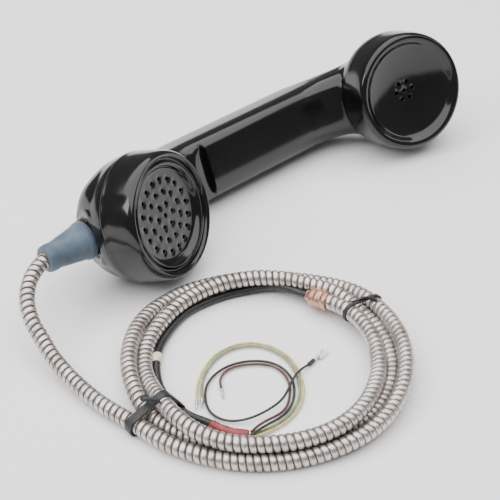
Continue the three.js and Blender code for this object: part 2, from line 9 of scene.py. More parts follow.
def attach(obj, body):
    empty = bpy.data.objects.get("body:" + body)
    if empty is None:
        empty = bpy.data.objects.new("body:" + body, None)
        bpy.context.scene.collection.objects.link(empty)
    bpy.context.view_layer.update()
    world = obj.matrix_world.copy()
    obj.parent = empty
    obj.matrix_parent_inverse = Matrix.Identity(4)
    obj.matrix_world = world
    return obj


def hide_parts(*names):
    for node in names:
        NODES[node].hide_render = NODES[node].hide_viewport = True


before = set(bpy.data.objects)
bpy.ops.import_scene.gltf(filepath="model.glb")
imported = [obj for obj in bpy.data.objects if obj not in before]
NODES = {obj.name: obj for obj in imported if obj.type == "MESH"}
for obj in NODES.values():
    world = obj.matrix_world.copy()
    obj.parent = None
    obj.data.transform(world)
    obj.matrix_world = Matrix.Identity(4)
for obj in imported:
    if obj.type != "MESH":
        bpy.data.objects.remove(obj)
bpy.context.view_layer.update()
scene = bpy.context.scene

# ---------------------------------------------------------------- camera
cam_data = bpy.data.cameras.new("camera")
cam_data.lens, cam_data.sensor_width = 100.534, 36.0
cam_data.clip_start, cam_data.clip_end = 0.02, 20.0
camera = bpy.data.objects.new("camera", cam_data)
camera.location = (-0.38265, -0.41004, 0.38405)
camera.rotation_euler = (math.radians(53.53), 0.0, math.radians(-43.026))
scene.collection.objects.link(camera)
scene.camera = camera

# ---------------------------------------------------------------- frames, all lengths in millimetres until the end
SHIFT = np.array([11.6506, -22.2700, 0.0])
LIFT = 34.295
LAY = math.radians(67.47)
CL, SL = math.cos(LAY), math.sin(LAY)
ROT = np.array([[1, 0, 0], [0, CL, -SL], [0, SL, CL]])
SPAN = 156.1


def place(p):
    """Handset coordinates (along, across, out of the caps) to the shared frame, in metres."""
    return (np.asarray(p, float) @ ROT.T + np.array([0, 0, LIFT]) + SHIFT) / 1000.0


def cup_axes(side, tilt):
    a = math.radians(tilt) * -side
    x = np.array([math.cos(a), 0, -math.sin(a)])
    n = np.array([math.sin(a), 0, math.cos(a)])
    return np.array([side * SPAN / 2, 0, 0]), x, np.array([0, 1.0, 0]), n


MOUTH, EAR = cup_axes(-1, 17.84), cup_axes(1, 14.33)
BOOT_W, BOOT_U = -23.5, -109.8


def from_cup(cup, p):
    o, x, y, n = cup
    p = np.asarray(p, float)
    return o + p[:, :1] * x + p[:, 1:2] * y + p[:, 2:3] * n


def along_boot(p):
    """Local z runs along the cord entry, away from the mouth cup."""
    p = np.asarray(p, float)
    return np.stack([BOOT_U - p[:, 2], p[:, 1], BOOT_W + p[:, 0]], 1)


# ---------------------------------------------------------------- mesh helpers
def catmull(points, step):
    """Dense centripetal-free cubic through points, about step apart, natural at its ends."""
    P = np.asarray(points, float)
    t = np.r_[0, np.cumsum(np.linalg.norm(np.diff(P, axis=0), axis=1))]
    n, h = len(P), np.diff(t)
    A = np.zeros((n, n)); B = np.zeros((n, 3)); A[0, 0] = A[-1, -1] = 1
    for i in range(1, n - 1):
        A[i, i - 1], A[i, i], A[i, i + 1] = h[i - 1], 2 * (h[i - 1] + h[i]), h[i]
        B[i] = 6 * ((P[i + 1] - P[i]) / h[i] - (P[i] - P[i - 1]) / h[i - 1])
    M = np.linalg.solve(A, B)
    q = np.linspace(0, t[-1], max(16, int(t[-1] / step) * 4))
    k = np.clip(np.searchsorted(t, q, side="right") - 1, 0, n - 2)
    a, b, hk = t[k + 1] - q, q - t[k], h[k]
    out = (M[k] * (a ** 3)[:, None] + M[k + 1] * (b ** 3)[:, None]) / (6 * hk)[:, None] \
        + (P[k] / hk[:, None] - M[k] * hk[:, None] / 6) * a[:, None] + (P[k + 1] / hk[:, None] - M[k + 1] * hk[:, None] / 6) * b[:, None]
    s = np.r_[0, np.cumsum(np.linalg.norm(np.diff(out, axis=0), axis=1))]
    m = max(4, int(round(s[-1] / step)))
    w = np.linspace(0, s[-1], m + 1)
    return np.stack([np.interp(w, s, out[:, i]) for i in range(3)], 1), s[-1]


def smooth_profile(points, step=0.5, sharp=()):
    """Monotone-friendly smoothing of a 2D profile: dense rounded polyline through the points."""
    P = np.asarray(points, float)
    parts, start = [], 0
    cuts = sorted(set([0, len(P) - 1, *sharp]))
    for a, b in zip(cuts[:-1], cuts[1:]):
        seg = P[a:b + 1]
        if len(seg) < 3:
            n = max(2, int(np.linalg.norm(seg[-1] - seg[0]) / (step * 3)) + 1)
            dense = seg[0] + (seg[-1] - seg[0]) * np.linspace(0, 1, n)[:, None]
        else:
            dense = catmull(np.c_[seg, np.zeros(len(seg))], step)[0][:, :2]
        parts.append(dense if not parts else dense[1:])
    return np.vstack(parts)


def frames_along(C):
    T = np.gradient(C, axis=0); T /= np.linalg.norm(T, axis=1)[:, None]
    N = np.zeros_like(T)
    v = np.array([0, 0, 1.0]); v -= v @ T[0] * T[0]
    if np.linalg.norm(v) < 0.2:
        v = np.array([0, 1.0, 0]); v -= v @ T[0] * T[0]
    N[0] = v / np.linalg.norm(v)
    for i in range(1, len(T)):
        w = N[i - 1] - (N[i - 1] @ T[i]) * T[i]
        N[i] = w / np.linalg.norm(w)
    return T, N, np.cross(T, N)


def make(name, verts, faces, body="handset", smooth=True, angle=None, mats=(), index=None, weld=None):
    """verts in metres in the shared frame."""
    me = bpy.data.meshes.new(name)
    me.from_pydata([tuple(v) for v in np.asarray(verts, float)], [], [tuple(int(i) for i in f) for f in faces])
    for m in mats:
        me.materials.append(m)
    if index is not None:
        me.polygons.foreach_set("material_index", np.asarray(index, np.int32))
    bm = bmesh.new(); bm.from_mesh(me)
    if weld:
        bmesh.ops.remove_doubles(bm, verts=bm.verts, dist=weld)
    holes = [e for e in bm.edges if e.is_boundary]
    if holes:
        bmesh.ops.holes_fill(bm, edges=holes, sides=0)
    bmesh.ops.recalc_face_normals(bm, faces=bm.faces)
    if bm.calc_volume(signed=True) < 0:
        bmesh.ops.reverse_faces(bm, faces=bm.faces)
    bm.to_mesh(me); bm.free()
    me.polygons.foreach_set("use_smooth", [smooth] * len(me.polygons))
    if angle and smooth:
        me.set_sharp_from_angle(angle=math.radians(angle))
    me.update()
    ob = bpy.data.objects.new(name, me)
    scene.collection.objects.link(ob)
    if body:
        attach(ob, body)
    return ob


def lathe_grid(profile, seg):
    a = np.arange(seg) / seg * 2 * math.pi
    P = np.asarray(profile, float)
    V = np.stack([P[:, None, 0] * np.cos(a), P[:, None, 0] * np.sin(a), np.repeat(P[:, 1:2], seg, 1)], 2)
    F = []
    for i in range(len(P) - 1):
        for j in range(seg):
            k = (j + 1) % seg
            F.append((i * seg + j, i * seg + k, (i + 1) * seg + k, (i + 1) * seg + j))
    return V.reshape(-1, 3), F


def lathe(name, profile, to_handset, mats, seg=96, body="handset", angle=40, closed=True):
    P = np.asarray(profile, float)
    V, F = lathe_grid(P, seg)
    if closed and not (P[0, 0] < 1e-6 and P[-1, 0] < 1e-6):
        n = len(P)
        for j in range(seg):
            k = (j + 1) % seg
            F.append(((n - 1) * seg + j, (n - 1) * seg + k, k, j))
    return make(name, place(to_handset(V)), F, body, True, angle, mats, weld=1e-6)


def tube(name, centre, radius, mats, sides=16, body="handset", angle=None):
    """A plain closed tube along a dense centreline given in millimetres in the shared frame. radius: number or one per point."""
    C = np.asarray(centre, float)
    R = np.full(len(C), radius, float) if np.isscalar(radius) else np.asarray(radius, float)
    T, N, B = frames_along(C)
    a = np.arange(sides) / sides * 2 * math.pi
    V = C[:, None] + R[:, None, None] * (N[:, None] * np.cos(a)[None, :, None] + B[:, None] * np.sin(a)[None, :, None])
    F = [(i * sides + j, i * sides + (j + 1) % sides, (i + 1) * sides + (j + 1) % sides, (i + 1) * sides + j)
         for i in range(len(C) - 1) for j in range(sides)]
    return make(name, V.reshape(-1, 3) / 1000, F, body, True, angle, mats)


# ---------------------------------------------------------------- materials
def tree_of(name):
    m = bpy.data.materials.new(name)
    m.use_nodes = True
    nt = m.node_tree
    return m, nt, nt.nodes["Principled BSDF"], lambda a, b: nt.links.new(a, b)


def noise(nt, link, coord, scale, detail=4.0, rough=0.55, stretch=None):
    if stretch:
        mp = nt.nodes.new("ShaderNodeMapping"); mp.inputs["Scale"].default_value = stretch
        link(coord, mp.inputs["Vector"]); coord = mp.outputs["Vector"]
    n = nt.nodes.new("ShaderNodeTexNoise")
    n.inputs["Scale"].default_value, n.inputs["Detail"].default_value, n.inputs["Roughness"].default_value = scale, detail, rough
    link(coord, n.inputs["Vector"])
    return n.outputs["Fac"]


def ramp(nt, link, fac, stops):
    r = nt.nodes.new("ShaderNodeValToRGB")
    e = r.color_ramp.elements
    while len(e) < len(stops):
        e.new(0.5)
    for el, (pos, col) in zip(e, stops):
        el.position, el.color = pos, (*col, 1) if len(col) == 3 else col
    link(fac, r.inputs["Fac"])
    return r.outputs["Color"]


def rng(nt, link, fac, lo, hi, a=0.3, b=0.7):
    r = nt.nodes.new("ShaderNodeMapRange")
    r.inputs["From Min"].default_value, r.inputs["From Max"].default_value = a, b
    r.inputs["To Min"].default_value, r.inputs["To Max"].default_value = lo, hi
    link(fac, r.inputs["Value"])
    return r.outputs["Result"]


def bump(nt, link, bsdf, height, strength, distance):
    b = nt.nodes.new("ShaderNodeBump")
    b.inputs["Strength"].default_value, b.inputs["Distance"].default_value = strength, distance
    link(height, b.inputs["Height"]); link(b.outputs["Normal"], bsdf.inputs["Normal"])


def surface(name, dark, light, rough, metal=0.0, scale=60.0, bump_by=0.05, bump_mm=0.05, bump_scale=None, coat=0.0, coat_rough=0.05,
            stretch=None, ior=1.5, spec=0.5, sheen=0.0, mid=None):
    m, nt, bsdf, link = tree_of(name)
    tc = nt.nodes.new("ShaderNodeTexCoord").outputs["Object"]
    n1 = noise(nt, link, tc, scale, stretch=stretch)
    stops = [(0.34, dark), (0.66, light)] if mid is None else [(0.3, dark), (0.5, mid), (0.7, light)]
    link(ramp(nt, link, n1, stops), bsdf.inputs["Base Color"])
    n2 = noise(nt, link, tc, scale * 2.3, 5.0, 0.6, stretch)
    link(rng(nt, link, n2, rough[0], rough[1]), bsdf.inputs["Roughness"])
    n3 = noise(nt, link, tc, bump_scale or scale * 8, 3.0, 0.5, stretch)
    bump(nt, link, bsdf, n3, bump_by, bump_mm / 1000)
    bsdf.inputs["Metallic"].default_value = metal
    bsdf.inputs["IOR"].default_value = ior
    bsdf.inputs["Specular IOR Level"].default_value = spec
    bsdf.inputs["Coat Weight"].default_value = coat
    bsdf.inputs["Coat Roughness"].default_value = coat_rough
    if sheen:
        bsdf.inputs["Sheen Weight"].default_value = sheen
    return m


def gloss_black(name, rough=(0.10, 0.17)):
    """Moulded black plastic, polished: a faint orange-peel wave, fine handling marks and a trace of dust."""
    m, nt, bsdf, link = tree_of(name)
    tc = nt.nodes.new("ShaderNodeTexCoord").outputs["Object"]
    big = noise(nt, link, tc, 38.0, 3.0)
    fine = noise(nt, link, tc, 1500.0, 2.0)
    marks = noise(nt, link, tc, 210.0, 6.0, 0.7, (1.0, 0.22, 1.0))
    link(ramp(nt, link, big, [(0.3, (0.0042, 0.0042, 0.0048)), (0.7, (0.0075, 0.0074, 0.0076))]), bsdf.inputs["Base Color"])
    mix = nt.nodes.new("ShaderNodeMath"); mix.operation = "MULTIPLY_ADD"
    link(marks, mix.inputs[0]); mix.inputs[1].default_value = 0.6
    link(fine, mix.inputs[2])
    link(rng(nt, link, mix.outputs[0], rough[0], rough[1], 0.55, 1.05), bsdf.inputs["Roughness"])
    peel = noise(nt, link, tc, 260.0, 1.0)
    bump(nt, link, bsdf, peel, 0.035, 0.00006)
    bsdf.inputs["IOR"].default_value = 1.52
    bsdf.inputs["Specular IOR Level"].default_value = 0.42
    bsdf.inputs["Coat Weight"].default_value = 0.1
    bsdf.inputs["Coat Roughness"].default_value = 0.06
    return m


BLACK = gloss_black("gloss_black")
BLACK_HOLE = surface("hole_wall_black", (0.004, 0.004, 0.004), (0.009, 0.009, 0.009), (0.4, 0.6), scale=200)
STEEL = surface("armour_steel", (0.42, 0.368, 0.338), (0.72, 0.67, 0.635), (0.27, 0.44), 0.9, 130.0, 0.12, 0.05, 900.0, mid=(0.58, 0.53, 0.497))
# darker, duller steel for the armour's groove faces: painted shade in the recesses between the ribs
ARMOUR_GROOVE_SHADE = surface("armour_groove_painted_shade", (0.060, 0.048, 0.042), (0.14, 0.114, 0.10), (0.5, 0.75), 0.4, 300.0, 0.2, 0.05, 900.0)
COPPER = surface("crimp_copper", (0.40, 0.20, 0.14), (0.72, 0.44, 0.33), (0.28, 0.46), 0.85, 260.0, 0.15, 0.06, 700.0)
BOOT = surface("boot_rubber", (0.042, 0.068, 0.100), (0.088, 0.128, 0.176), (0.5, 0.68), 0.0, 120.0, 0.22, 0.08, 1300.0, sheen=0.25)
TIE = surface("tie_rubber", (0.010, 0.010, 0.011), (0.026, 0.026, 0.027), (0.38, 0.6), 0.0, 400.0, 0.2, 0.05, 1800.0)
JACKET = surface("jacket_vinyl", (0.007, 0.007, 0.008), (0.018, 0.018, 0.019), (0.3, 0.48), 0.0, 300.0, 0.15, 0.05, 1400.0)
HEAT = surface("heat_shrink_red", (0.17, 0.022, 0.026), (0.31, 0.050, 0.052), (0.38, 0.55), 0.0, 420.0, 0.3, 0.1, 1100.0)
IVORY = surface("band_ivory", (0.60, 0.52, 0.36), (0.86, 0.80, 0.64), (0.5, 0.7), 0.0, 500.0, 0.25, 0.06, 1500.0)
W_YELLOW = surface("insulation_yellow", (0.46, 0.36, 0.14), (0.70, 0.58, 0.28), (0.3, 0.45), 0.0, 300.0, 0.1, 0.03, 1500.0)
W_GREEN = surface("insulation_green", (0.13, 0.19, 0.085), (0.27, 0.33, 0.17), (0.3, 0.45), 0.0, 300.0, 0.1, 0.03, 1500.0)
W_BLACK = surface("insulation_black", (0.014, 0.013, 0.012), (0.035, 0.032, 0.028), (0.3, 0.45), 0.0, 300.0, 0.1, 0.03, 1500.0)
W_RED = surface("insulation_brown", (0.055, 0.020, 0.016), (0.12, 0.042, 0.032), (0.3, 0.45), 0.0, 300.0, 0.1, 0.03, 1500.0)
W_RED_IN = surface("insulation_red", (0.24, 0.05, 0.04), (0.42, 0.11, 0.08), (0.3, 0.45), 0.0, 300.0, 0.1, 0.03, 1500.0)
W_WHITE = surface("insulation_white", (0.68, 0.65, 0.58), (0.85, 0.82, 0.76), (0.35, 0.5), 0.0, 300.0, 0.1, 0.03, 1500.0)
TINNED = surface("tinned_terminal", (0.55, 0.55, 0.54), (0.85, 0.84, 0.82), (0.22, 0.38), 0.95, 500.0, 0.15, 0.04, 1600.0)
BRASS = surface("brass_part", (0.58, 0.40, 0.16), (0.82, 0.64, 0.32), (0.22, 0.36), 0.95, 260.0, 0.1, 0.03, 1300.0)
CAN = surface("capsule_can", (0.52, 0.52, 0.50), (0.76, 0.76, 0.74), (0.28, 0.42), 0.95, 220.0, 0.1, 0.04, 900.0)
PLATED = surface("plated_steel", (0.42, 0.42, 0.42), (0.66, 0.66, 0.66), (0.3, 0.45), 0.95, 260.0, 0.1, 0.04, 900.0)
DARK = surface("dark_plastic", (0.02, 0.02, 0.022), (0.05, 0.05, 0.052), (0.45, 0.62), 0.0, 160.0, 0.2, 0.06, 1100.0)
GASKET = surface("gasket_rubber", (0.012, 0.012, 0.012), (0.03, 0.03, 0.03), (0.6, 0.8), 0.0, 300.0, 0.3, 0.06, 1400.0)
FOAM = surface("foam", (0.20, 0.19, 0.16), (0.42, 0.40, 0.35), (0.85, 0.98), 0.0, 600.0, 0.9, 0.5, 1400.0)


def cloth_material(name):
    """Woven acoustic cloth: two crossed thread waves."""
    m, nt, bsdf, link = tree_of(name)
    tc = nt.nodes.new("ShaderNodeTexCoord").outputs["Object"]
    waves = []
    for axis in ("X", "Z"):
        w = nt.nodes.new("ShaderNodeTexWave"); w.bands_direction = axis
        w.inputs["Scale"].default_value = 900.0; w.inputs["Distortion"].default_value = 0.6
        link(tc, w.inputs["Vector"]); waves.append(w.outputs["Fac"])
    mx = nt.nodes.new("ShaderNodeMath"); mx.operation = "MAXIMUM"
    link(waves[0], mx.inputs[0]); link(waves[1], mx.inputs[1])
    link(ramp(nt, link, mx.outputs[0], [(0.2, (0.02, 0.02, 0.02)), (0.8, (0.07, 0.07, 0.068))]), bsdf.inputs["Base Color"])
    bump(nt, link, bsdf, mx.outputs[0], 0.6, 0.00015)
    bsdf.inputs["Roughness"].default_value = 0.92
    return m


CLOTH = cloth_material("acoustic_cloth")


def paint(material, *names):
    for n in names:
        o = NODES[n]
        o.data.materials.clear(); o.data.materials.append(material)


paint(BLACK, "handle_shell", "mouth_cap", "ear_cap")
paint(GASKET, "mouth_gasket", "ear_gasket")
paint(CLOTH, "mic_screen", "receiver_screen")
paint(CAN, "mic_capsule", "receiver_capsule")
paint(DARK, "mic_contact_cup", "receiver_terminal_block")
paint(BRASS, "mic_spring_a", "mic_spring_b", "mic_screw_a", "mic_screw_b", "receiver_screw_a", "receiver_screw_b")
paint(W_WHITE, "receiver_wire_white")
paint(W_RED_IN, "receiver_wire_red")
paint(W_RED, "conductor_red")
paint(FOAM, "handle_foam_plug")
paint(BOOT, "cord_boot")
paint(STEEL, "conduit_tail", "conduit_lead", "conduit_coil")
paint(PLATED, "cord_retainer")
paint(COPPER, "conduit_ferrule")
paint(JACKET, "jacket_cable_upper", "jacket_cable_lower")
paint(IVORY, "jacket_band")
paint(HEAT, "heat_shrink")
paint(W_YELLOW, "conductor_yellow")
paint(W_GREEN, "conductor_green")
paint(W_BLACK, "conductor_black")
paint(TINNED, "pin_terminal_yellow", "pin_terminal_green", "pin_terminal_red", "spade_lug_black")
paint(TIE, "lug_sleeve", "cable_tie_left", "cable_tie_right")

# ---------------------------------------------------------------- the armoured cord
CORD_D = 7.0
ROUTE = [(-115.6,-0.56,25.29),(-118.2,-0.6,25.28),(-126.34,-2.3,24.36),(-133.07,-5.98,22.3),(-137.92,-10.77,19.54),(-140.95,-15.91,16.54),(-142.52,-21.28,13.47),(-143.22,-27.26,10.56),
    (-144.4,-33.61,8.3),(-145.1,-39.96,6.65),(-145.44,-45.96,5.53),(-145.68,-51.73,4.75),(-145.75,-57.56,4.21),(-145.6,-63.61,3.87),(-145.2,-69.59,3.64),(-144.51,-75.54,3.57),
    (-143.29,-83.22,3.59),(-142.35,-90.93,3.64),(-141.54,-98.66,3.65),(-139.79,-106.23,3.65),(-137.13,-113.52,3.65),(-133.62,-120.45,3.65),(-129.36,-126.95,3.57),(-124.31,-132.85,3.55),
    (-118.54,-138.06,3.55),(-112.26,-142.63,3.57),(-105.5,-146.43,3.8),(-98.36,-149.48,4.1),(-90.95,-151.76,4.58),(-83.31,-153.14,4.96),(-75.56,-153.25,5.34),(-67.88,-152.22,5.84),
    (-60.46,-150,6.37),(-53.42,-146.75,6.89),(-46.87,-142.6,7.31),(-40.91,-137.62,7.54),(-35.54,-132.02,7.6),(-30.92,-125.77,7.46),(-27.05,-119.04,7.28),(-24.04,-111.88,7),(-22.05,-104.38,6.62),
    (-20.85,-96.72,6.23),(-20.91,-89,5.53),(-22.58,-81.46,4.81),(-25.94,-74.46,4.49),(-29.76,-67.71,4.09),(-34.26,-61.39,3.71),(-39.48,-55.64,3.56),(-45.29,-50.48,3.57),(-51.63,-45.99,3.59),
    (-58.5,-42.38,3.7),(-65.81,-39.78,3.92),(-73.38,-38.06,4.16),(-81.12,-37.53,4.52),(-88.84,-38.18,5.03),(-96.39,-39.86,5.75),(-103.5,-42.88,6.46),(-110.17,-46.84,6.98),(-116.27,-51.63,7.28),
    (-121.79,-57.09,7.38),(-126.48,-63.27,7.06),(-130.34,-69.98,6.42),(-133.35,-77.09,5.56),(-135.06,-84.57,4.45),(-135.09,-92.29,3.65),(-134.04,-99.98,3.55),(-131.85,-107.43,3.55),
    (-128.74,-114.55,3.55),(-124.7,-121.18,3.59),(-119.76,-127.18,3.6),(-114.02,-132.41,3.6),(-107.75,-137,3.6),(-100.93,-140.7,3.57),(-93.66,-143.44,3.55),(-86.15,-145.42,3.55),
    (-78.45,-146.37,3.55),(-70.7,-145.85,3.55),(-63.16,-144.03,3.55),(-56,-141.02,3.55),(-49.37,-136.97,3.55),(-43.44,-131.96,3.55),(-38.36,-126.09,3.55),(-34.11,-119.59,3.55),
    (-30.92,-112.52,3.67),(-28.87,-105.03,4.03),(-27.78,-97.36,4.56),(-27.85,-89.7,5.83),(-29.45,-82.25,7.12),(-32.76,-75.24,7.43),(-36.36,-68.37,7.9),(-40.9,-62.08,8.19),(-46.34,-56.54,8.26),
    (-52.56,-51.9,8.15),(-59.43,-48.28,7.88),(-66.78,-45.83,7.51),(-74.41,-44.48,6.99),(-82.16,-44.39,6.44),(-89.81,-45.48,5.68),(-97.22,-47.62,4.82),(-104.26,-50.84,4.13),(-110.73,-55.11,3.76),
    (-116.29,-60.51,3.62),(-120.83,-66.78,4.12),(-124.33,-73.63,5.19),(-127.23,-80.63,6.9),(-129.87,-87.71,8.72),(-131.97,-95.07,10.04),(-133.01,-102.74,10.61),(-132.61,-110.48,10.45),
    (-130.41,-117.9,10.02),(-126.77,-124.75,9.82),(-121.78,-130.69,9.87),(-115.95,-135.82,9.85),(-109.56,-140.24,9.81),(-102.59,-143.66,9.86),(-95.21,-146.09,9.97),(-87.55,-147.27,10.29),
    (-79.81,-146.86,10.57),(-72.3,-144.92,10.49),(-65.23,-141.74,10.01),(-58.6,-137.76,9.32),(-52.53,-132.98,8.49),(-47.04,-127.52,7.83),(-42.14,-121.5,7.64),(-38.2,-114.81,7.58),
    (-35.55,-107.52,7.66),(-34.25,-99.87,7.7),(-34.5,-92.13,7.38),(-36,-84.57,6.45)]


def armour(name, route, body):
    """Interlocked strip armour: one rounded strip wound as a helix, its grid sheared so that edges follow the winding;
    the groove rows take a darker material as painted shade.
    """
    C, length = catmull(route, 0.5)
    T, N, B = frames_along(C)
    s = np.linspace(0, length, len(C))
    pitch, sides = 2.9, 18
    phase = np.array([0.0, 0.05, 0.13, 0.30, 0.50, 0.68, 0.79, 0.84, 0.92])
    rad = np.array([2.98, 3.28, 3.45, 3.5, 3.5, 3.43, 3.22, 2.98, 2.93])
    m = len(phase)
    turns = int(length / pitch) + 3
    S = ((np.arange(-1, turns)[:, None] + phase[None]).ravel() * pitch)
    R = np.tile(rad, turns + 1)
    cols = []
    for j in range(sides):
        f = j / sides
        q = np.clip(S + f * pitch, 0, length)
        c = np.stack([np.interp(q, s, C[:, k]) for k in range(3)], 1)
        n = np.stack([np.interp(q, s, N[:, k]) for k in range(3)], 1)
        b = np.stack([np.interp(q, s, B[:, k]) for k in range(3)], 1)
        a = 2 * math.pi * f
        cols.append(c + R[:, None] * (n * math.cos(a) + b * math.sin(a)))
    V = np.stack(cols, 1)
    rows = len(S)
    F, I = [], []
    for i in range(rows - 1):
        # rows 6 to 8 of each turn are the groove; they take the second material, a painted shade
        dark = 1 if (i % m) in (6, 7, 8) else 0
        for j in range(sides - 1):
            F.append((i * sides + j, i * sides + j + 1, (i + 1) * sides + j + 1, (i + 1) * sides + j)); I.append(dark)
        if i + m + 1 < rows + 1 and i + 1 < rows and i - m >= 0:
            F.append((i * sides, (i + 1) * sides, (i + 1 - m) * sides + sides - 1, (i - m) * sides + sides - 1)); I.append(dark)
    ob = make(name, V.reshape(-1, 3) / 1000, F, body, True, 60, (STEEL, ARMOUR_GROOVE_SHADE), I, weld=2e-6)
    return ob, C / 1000, length / 1000


cord_piece, cord_path, cord_length = armour("armoured_cord", ROUTE, "handset")
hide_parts("conduit_lead", "conduit_coil")

CX, CY = -91.7 + SHIFT[0], -72.7 + SHIFT[1]     # middle of the turns


def at(r, deg, z):
    return (CX + r * math.cos(math.radians(deg)), CY + r * math.sin(math.radians(deg)), z)


# crimp ferrule over the end of the armour, with two crimped waists
end, before = np.array(ROUTE[-1], float), np.array(ROUTE[-2], float)
tip_dir = end - before; tip_dir /= np.linalg.norm(tip_dir)


def on_line(origin, direction):
    d = np.asarray(direction, float); d = d / np.linalg.norm(d)
    x = np.cross([0, 0, 1.0], d); x /= np.linalg.norm(x)
    y = np.cross(d, x)
    o = np.asarray(origin, float)
    return lambda V: o + np.asarray(V)[:, :1] * x + np.asarray(V)[:, 1:2] * y + np.asarray(V)[:, 2:3] * d


def lathe_world(name, profile, to_world, mats, seg=48, body="handset", angle=40):
    P = np.asarray(profile, float)
    V, F = lathe_grid(P, seg)
    if not (P[0, 0] < 1e-6 and P[-1, 0] < 1e-6):
        n = len(P)
        F += [((n - 1) * seg + j, (n - 1) * seg + (j + 1) % seg, (j + 1) % seg, j) for j in range(seg)]
    return make(name, to_world(V) / 1000, F, body, True, angle, mats, weld=1e-6)


fer_profile = smooth_profile([(0, -5.6), (3.0, -5.6), (3.9, -5.5), (4.15, -5.0), (4.15, -3.6), (3.95, -3.1), (3.72, -2.5), (3.95, -1.9), (4.15, -1.4), (4.15, -0.2), (3.95, 0.3), (3.72, 0.9), (3.95, 1.5),
    (4.12, 2.0), (3.95, 2.8), (3.3, 3.7), (2.6, 4.4), (2.45, 5.2), (2.2, 5.6), (1.9, 5.7), (0, 5.7)], 0.25)
ferrule = lathe_world("crimp_ferrule", np.c_[np.maximum(fer_profile[:, 0], 0), fer_profile[:, 1]], on_line(end + tip_dir * 2.2, tip_dir), (COPPER,))
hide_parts("conduit_ferrule")


# ties: a rubber band over the hull of the strands, with a twisted tail
def hull(points):
    P = sorted(map(tuple, points))
    def half(seq):
        out = []
        for p in seq:
            while len(out) > 1 and (out[-1][0] - out[-2][0]) * (p[1] - out[-2][1]) - (out[-1][1] - out[-2][1]) * (p[0] - out[-2][0]) <= 0:
                out.pop()
            out.append(p)
        return out
    lo, hi = half(P), half(P[::-1])
    return np.array(lo[:-1] + hi[:-1])


def tie(name, node, deg, width, thick, extra=()):
    d = np.array([math.cos(math.radians(deg)), math.sin(math.radians(deg))])
    t = np.array([-d[1], d[0]])
    C = cord_path * 1000
    rel = C[:, :2] - [CX, CY]
    along, across = rel @ d, rel @ t
    hit = [k for k in range(len(C) - 1) if along[k] > 0 and across[k] * across[k + 1] <= 0]
    circles = [(along[k], C[k, 2], CORD_D / 2) for k in hit] + list(extra)
    ring = []
    for r in (0.03, thick):
        pts = [(c + (q + r) * math.cos(a), max(h + (q + r) * math.sin(a), 0.06 + (thick - r) * 0.9)) for c, h, q in circles for a in np.linspace(0, 2 * math.pi, 73)[:-1]]
        H = hull(pts); H = np.vstack([H, H[:1]])
        s = np.r_[0, np.cumsum(np.linalg.norm(np.diff(H, axis=0), axis=1))]
        w = np.linspace(0, s[-1], 121)[:-1]
        H = np.stack([np.interp(w, s, H[:, k]) for k in range(2)], 1)
        k0 = int(np.argmax(H[:, 0])); ring.append(np.roll(H, -k0, axis=0))
    n = len(ring[0]); V, F = [], []
    half, e = width / 2, min(0.3, width * 0.2)
    # loop of the band's section: inner edge, rounded outer edge
    loops = [(0, -half + e * 0.3), (1, -half + e), (1, half - e), (0, half - e * 0.3)]
    mid = (ring[0] + ring[1]) / 2
    loops = [(0.0, -half + e), (0.5, -half), (1.0, -half + e), (1.0, half - e), (0.5, half), (0.0, half - e)]
    for f, off in loops:
        P = ring[0] * (1 - f) + ring[1] * f
        V.append(np.stack([CX + P[:, 0] * d[0] + off * t[0], CY + P[:, 0] * d[1] + off * t[1], P[:, 1]], 1))
    m = len(loops)
    for a in range(m):
        b = (a + 1) % m
        for i in range(n):
            j = (i + 1) % n
            F.append((a * n + i, a * n + j, b * n + j, b * n + i))
    ob = make(name, np.vstack(V) / 1000, F, "handset", True, 50, (TIE,))
    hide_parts(node)
    return ob, circles, d, t


tie_left, circ_l, dl, tl = tie("tie_band_left", "cable_tie_left", 173.4, 4.4, 0.85, [(43.6, 1.9, 1.75)])
tie_right, circ_r, dr, tr = tie("tie_band_right", "cable_tie_right", -6.2, 2.0, 0.8)


def tail(name, deg, r0, z0, pts, radius):
    """A free end of a tie: a short tapering tube over (radial, tangential, up) offsets."""
    d = np.array([math.cos(math.radians(deg)), math.sin(math.radians(deg)), 0]); t = np.array([-d[1], d[0], 0])
    base = np.array([CX, CY, 0]) + d * r0 + np.array([0, 0, z0])
    P = [base + d * a + t * b + np.array([0, 0, c]) for a, b, c in pts]
    C, L = catmull(P, 0.4)
    u = np.linspace(0, 1, len(C))
    R = radius * (1 - 0.25 * u) * np.sqrt(np.clip(1.02 - u ** 10, 0.02, 1))
    return tube(name, C, R, (TIE,), 12)


top_l = max(c[1] + c[2] for c in circ_l)
knot_l = tail("tie_knot_left", 173.4, 56.5, top_l + 0.3, [(1.8, -2.6, 0.3), (1.2, -0.9, 1.0), (-0.5, 0.5, 1.1), (-1.9, 1.9, 0.7), (-3.2, 3.2, -0.2)], 1.05)
knot_r = tail("tie_knot_right", -6.2, 53.0, 10.6, [(5.2, -2.8, -0.6), (3.0, -1.0, 0.7), (0.2, 0.2, 1.4), (-2.6, 0.8, 1.1), (-5.8, 2.6, 0.5)], 0.7)

# ---------------------------------------------------------------- inner cable, heat-shrink and conductors
def bevel_curve(name, points_mm, radius_mm, material, step=1.0):
    C, length = catmull(points_mm, step)
    cu = bpy.data.curves.new(name, "CURVE")
    cu.dimensions = "3D"
    sp = cu.splines.new("POLY"); sp.points.add(len(C) - 1)
    for p, q in zip(sp.points, C / 1000):
        p.co = (*q, 1)
    sp.use_smooth = True
    cu.bevel_depth, cu.bevel_resolution, cu.use_fill_caps = radius_mm / 1000, 4, True
    cu.materials.append(material)
    ob = bpy.data.objects.new(name, cu)
    scene.collection.objects.link(ob)
    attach(ob, "handset")
    return ob, C / 1000, length / 1000


fer_end = end + tip_dir * 7.6
HS0, HS1 = at(41.6, 194.5, 2.1), None
COX, COY = -91.7 + SHIFT[0], -74.0 + SHIFT[1]    # middle of the collision ring, which the tail's solids are laid out from


def at2(r, deg, z):
    return (COX + r * math.cos(math.radians(deg)), COY + r * math.sin(math.radians(deg)), z)


